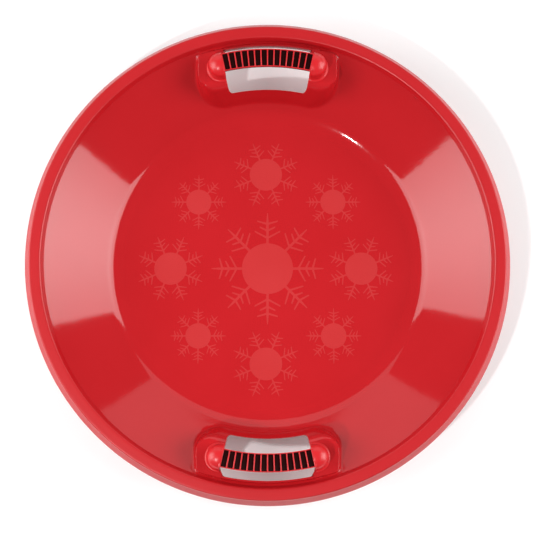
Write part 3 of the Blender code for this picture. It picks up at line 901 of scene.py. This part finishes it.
# %% The core
CORE_TOP = GRILLE_BOTTOM - CLEARANCE
CORE_BOTTOM = 82.7 * MM
CORE_CHEEK = 1 * MM
CORE_INSET = 0.5 * MM
TONGUE_RISE = 3 * MM
BELLY_STEPS = 24
PAD_SINK = 2.2 * MM
PAD_ROLL = 0.6 * MM
PAD_TOP = GRIP_TOP - PAD_SINK
TONGUE = 7 * MM
TONGUE_LAP = 3 * MM
FOOT_WIDTH = 16 * MM
FOOT_END = 16 * MM
POCKET_OVERRUN_SHARE = 10
SCREW_BITE = 8 * MM
SCREW_RADIUS = 2 * MM
TONGUE_BOTTOM = CORE_BOTTOM + TONGUE_RISE
SCREW_TOP = TONGUE_BOTTOM + TONGUE + SCREW_BITE
HOLE_START = SEAT - 3 * MM


def belly():
    """The core's cross-section, spun from one end of the grip to the other."""
    half_width = GRIP_WIDTH / 2 - CORE_INSET
    section = [(half_width, CORE_TOP), (-half_width, CORE_TOP)]
    for step in range(BELLY_STEPS + 1):
        a = math.pi * step / BELLY_STEPS
        drop = (CORE_TOP - CORE_CHEEK - CORE_BOTTOM) * math.sin(a)
        section.append((-half_width * math.cos(a), CORE_TOP - CORE_CHEEK - drop))
    bm = bmesh.new()
    half_angle = math.radians(OPENING_HALF_ANGLE) - CLEARANCE / GRIP_RADIUS
    place = Matrix.Rotation(half_angle, 3, "Z")
    face = bm.faces.new([bm.verts.new(place @ Vector((0, GRIP_RADIUS + y, z))) for y, z in section])
    bmesh.ops.spin(bm, geom=[face], cent=(0, 0, 0), axis=(0, 0, 1), angle=-2 * half_angle, steps=28)
    return bm


def pads():
    """One rounded pad for each slot of the grille, rooted in the core."""
    bm = bmesh.new()
    length = PITCH - RIB - 2 * CLEARANCE
    width = GRIP_WIDTH - 2 * RAIL - 2 * CLEARANCE
    bottom = CORE_TOP - CORE_CHEEK / 2
    for slot in range(RIB_COUNT + 1):
        middle = (slot + 0.5) * PITCH - GRIP_LENGTH / 2
        place = Matrix.Translation((middle, 0, (PAD_TOP + bottom) / 2))
        size = Matrix.Diagonal((length, width, PAD_TOP - bottom, 1))
        made = bmesh.ops.create_cube(bm, size=1, matrix=place @ size)["verts"]
        rim = {e for v in made for e in v.link_edges if all(u.co.z > PAD_TOP - HAIR for u in e.verts)}
        roll_edges(bm, list(rim), PAD_ROLL, 3)
    bend_round(bm)
    return bm


def feet(gap):
    """The tongue and foot at each end. With a gap they are the pocket that the knuckle has for them, which is
    open below, so it begins well under the seat."""
    floor = SEAT - POCKET_OVERRUN_SHARE * gap
    profile = [
        (-TONGUE_LAP, TONGUE_BOTTOM - gap),
        (KNUCKLE_FACE - gap, TONGUE_BOTTOM - gap),
        (KNUCKLE_FACE - gap, floor),
        (FOOT_END + gap, floor),
        (FOOT_END + gap, TONGUE_BOTTOM + TONGUE + gap),
        (-TONGUE_LAP, TONGUE_BOTTOM + TONGUE + gap),
    ]
    bm = bmesh.new()
    half_width = FOOT_WIDTH / 2 + gap
    for side in (1, -1):
        frame_here = end_frame(side)
        face = bm.faces.new([bm.verts.new(frame_here @ Vector((x, -half_width, z))) for x, z in profile])
        region = [face, *face.edges, *face.verts]
        grown = bmesh.ops.extrude_face_region(bm, geom=region)["geom"]
        across = frame_here.to_3x3() @ Vector((0, 2 * half_width, 0))
        bmesh.ops.translate(bm, vec=across, verts=[v for v in grown if isinstance(v, bmesh.types.BMVert)])
    return bm


print("pads:", RIB_COUNT + 1, "core bottom in mm:", round(CORE_BOTTOM / MM, 1))

# %% [markdown]
# The core's plastic is a satin black with the fine grain of an etched mould. The grain is bump, far too fine
# to be modelled, and its tone drifts a little where hands and cold have dulled it.

# %% Put the handles together
# The red cast in these blacks is painted light: red bounce from the cover's ribs and rails, laid into the
# colour.
core_tones_with_painted_red_bounce = (0.017, 0.002, 0.002), (0.013, 0.0015, 0.0015)
etched_grain = ((350, 0.00001), (1600, 0.000008))
core_black = moulded("core black plastic", *core_tones_with_painted_red_bounce, (0.42, 0.52), etched_grain)
core_black.node_tree.nodes["Principled BSDF"].inputs["Specular IOR Level"].default_value = 0.06
HALF_TURN = Matrix.Rotation(math.pi, 4, "Z")


def for_both_hands(bm, name, material, sharp):
    """Finishes a left piece and its copy on the right."""
    other = bm.copy()
    other.transform(HALF_TURN)
    finish_piece(f"left_{name}", bm, material, f"left_{name}", sharp)
    finish_piece(f"right_{name}", other, material, f"right_{name}", sharp)


hole = SCREW_RADIUS + CLEARANCE
cover = combine(
    grille(),
    ("UNION", knuckle(1)),
    ("UNION", knuckle(-1)),
    ("DIFFERENCE", feet(CLEARANCE)),
    ("DIFFERENCE", screw_bars(hole, HOLE_START, SCREW_TOP + CLEARANCE)),
)
for_both_hands(cover, "handle_cover", cover_red, 35)
core = combine(
    belly(),
    ("UNION", pads()),
    ("UNION", feet(0)),
    ("DIFFERENCE", screw_bars(hole, HOLE_START, SCREW_TOP)),
)
for_both_hands(core, "grip_core", core_black, 35)

# %% [markdown]
# Two pan-head screws hold each handle from below. A screw's outline is spun round its axis: a pointed shank
# and a head whose edge is rounded. Two crossed bars cut the recess for the driver. The zinc on them is bright
# but not a mirror: fine noise varies its polish, as the plating bath leaves it.

# %% The screws
SCREW_HEAD_RADIUS = 5 * MM
SCREW_HEAD_HEIGHT = 2.4 * MM
HEAD_EDGE_SHARE = 1 / 8
HEAD_ROUND_SHARE = 0.75
HEAD_STEPS = 8
RECESS_WIDTH = 1.2 * MM
RECESS_LENGTH = 5 * MM
RECESS_DEPTH = 1.3 * MM
SCREW_SEAT = MOUNT_TOP - SHEET - CLEARANCE

zinc_tones = (0.66, 0.67, 0.7), (0.52, 0.53, 0.56)
zinc_grain = ((500, 0.000004), (2500, 0.000002))
zinc = moulded("zinc plate", *zinc_tones, (0.22, 0.38), zinc_grain)
zinc.node_tree.nodes["Principled BSDF"].inputs["Metallic"].default_value = 1


def screw():
    """A screw with its axis on Z and its head's upper face at height 0."""
    top = SCREW_TOP - SCREW_SEAT
    edge = SCREW_HEAD_HEIGHT * HEAD_EDGE_SHARE
    outline = [(0, top), (SCREW_RADIUS / 2, top), (SCREW_RADIUS, top - SCREW_RADIUS), (SCREW_RADIUS, 0)]
    outline.append((SCREW_HEAD_RADIUS - edge, 0))
    for step in range(HEAD_STEPS + 1):
        a = math.pi / 2 * step / HEAD_STEPS
        r = SCREW_HEAD_RADIUS - SCREW_HEAD_HEIGHT * (1 - math.cos(a)) * HEAD_ROUND_SHARE
        outline.append((r, -edge - (SCREW_HEAD_HEIGHT - edge) * math.sin(a)))
    outline.append((0, -SCREW_HEAD_HEIGHT))
    bm = bmesh.new()
    wire = [bm.verts.new((r, 0, z)) for r, z in outline]
    for pair in zip(wire, wire[1:]):
        bm.edges.new(pair)
    bmesh.ops.spin(
        bm,
        geom=bm.verts[:] + bm.edges[:],
        cent=(0, 0, 0),
        axis=(0, 0, 1),
        angle=math.tau,
        steps=40,
        use_merge=True,
    )
    return bm


def recess_bar(turn):
    """One of the two bars that cut the cross into a screw's head."""
    bm = bmesh.new()
    size = Matrix.Diagonal((RECESS_LENGTH, RECESS_WIDTH, 2 * RECESS_DEPTH, 1))
    place = Matrix.Translation((0, 0, -SCREW_HEAD_HEIGHT)) @ Matrix.Rotation(turn, 4, "Z")
    bmesh.ops.create_cube(bm, size=1, matrix=place @ size)
    return bm


driven = combine(screw(), ("DIFFERENCE", recess_bar(0)), ("DIFFERENCE", recess_bar(math.pi / 2)))
for hand, turn in (("left", Matrix()), ("right", HALF_TURN)):
    for side in (1, -1):
        spot = turn @ end_frame(side) @ Vector((SCREW_REACH, 0, 0))
        one = driven.copy()
        one.transform(Matrix.Translation((spot.x, spot.y, SCREW_SEAT)))
        name = f"{hand}_{'front' if spot.x > 0 else 'rear'}_screw"
        finish_piece(name, one, zinc, name, 30)
driven.free()

# %% [markdown]
# The floor carries a print of snowflakes in a red a little lighter than the plastic's own. Each flake grows
# out of a disc: eight of the disc's edges are pulled out into stems, and at three places along a stem its two
# sides are pulled out again, aslant, into twigs: a long pair near the disc, a short pair, and one between
# the two in length. The stem then runs out to a point. The ink is a thin skin. Screen printing on a finished
# moulding is never quite centred, and here the print sits a few millimetres towards the right handle.

# %% The floor print
INK = 0.05 * MM
PRINT_MIDDLE = (-2.2 * MM, -3.1 * MM)
RING = 131 * MM
ARMS = 8
TWIG_STROKE_SHARE = 0.8
TIP_SHARE = 0.35

# Where each pair of twigs leaves its stem and how long it is, as shares of the stem, and how far it leans
twigs = [(0.16, 0.43, 62), (0.40, 0.24, 64), (0.62, 0.31, 74)]

# The disc's radius, how far the stems reach, how wide they are, and the first stem's angle in degrees
CENTRE_FLAKE = (35.1 * MM, 77 * MM, 3.4 * MM, 0)
LARGE_FLAKE = (22.3 * MM, 47.5 * MM, 2.3 * MM, 22.5)
SMALL_FLAKE = (17.4 * MM, 38 * MM, 2.0 * MM, 0)

ink_tones = (0.56, 0.034, 0.036), (0.535, 0.0285, 0.03)
ink = moulded("printed red ink", *ink_tones, (0.2, 0.26), red_waves)


def pull(bm, edge, way, length):
    """Pulls an edge out into a strip. Gives the strip's face and its new end."""
    grown = bmesh.ops.extrude_edge_only(bm, edges=[edge])["geom"]
    verts = [item for item in grown if isinstance(item, bmesh.types.BMVert)]
    bmesh.ops.translate(bm, vec=way * length, verts=verts)
    face = next(item for item in grown if isinstance(item, bmesh.types.BMFace))
    return face, next(e for e in face.edges if all(vert in verts for vert in e.verts))


def taper(bm, end, share):
    """Draws the end of a strip together."""
    middle = (end.verts[0].co + end.verts[1].co) / 2
    bmesh.ops.scale(bm, vec=(share, share, 1), space=Matrix.Translation(-middle), verts=end.verts[:])


def flake(bm, centre, disc, reach, stroke, first):
    """Draws one snowflake."""
    segments = ARMS * round(math.tau * disc / stroke / ARMS)
    middle = Vector((*centre, SHEET))
    place = Matrix.Translation(middle) @ Matrix.Rotation(math.radians(first) + math.pi / segments, 4, "Z")
    made = bmesh.ops.create_circle(bm, cap_ends=True, radius=disc, segments=segments, matrix=place)["verts"]
    rim = {edge for vert in made for edge in vert.link_edges}
    for arm in range(ARMS):
        a = math.radians(first + 360 / ARMS * arm)
        out = Vector((math.cos(a), math.sin(a), 0))
        edge = max(rim, key=lambda e: (e.verts[0].co + e.verts[1].co - 2 * middle).dot(out))
        done = disc
        for start, length, degrees in twigs:
            lean = math.radians(degrees)
            begin = disc + (reach - disc) * start
            edge = pull(bm, edge, out, begin - done)[1]
            thick = TWIG_STROKE_SHARE * stroke / math.sin(lean)
            face, end = pull(bm, edge, out, thick)
            for side in face.edges:
                if side not in (edge, end):
                    away = (side.verts[0].co + side.verts[1].co) / 2 - face.calc_center_median()
                    away.normalize()
                    way = out * math.cos(lean) + away * math.sin(lean)
                    taper(bm, pull(bm, side, way, (reach - disc) * length)[1], 2 * TIP_SHARE)
            edge, done = end, begin + thick
        taper(bm, pull(bm, edge, out, reach - done)[1], TIP_SHARE)


print_bm = bmesh.new()
flake(print_bm, (0, PRINT_MIDDLE[1]), *CENTRE_FLAKE)
for number in range(8):
    a = math.radians(45 * number)
    centre = (PRINT_MIDDLE[0] + RING * math.cos(a), PRINT_MIDDLE[1] + RING * math.sin(a))
    flake(print_bm, centre, *(SMALL_FLAKE if number % 2 else LARGE_FLAKE))
grown = bmesh.ops.extrude_face_region(print_bm, geom=print_bm.faces[:])["geom"]
for vert in print_bm.verts:
    vert.co.z = SHEET - INK
for item in grown:
    if isinstance(item, bmesh.types.BMVert):
        item.co.z = SHEET + INK
finish_piece("floor_print", print_bm, ink, None, 30)
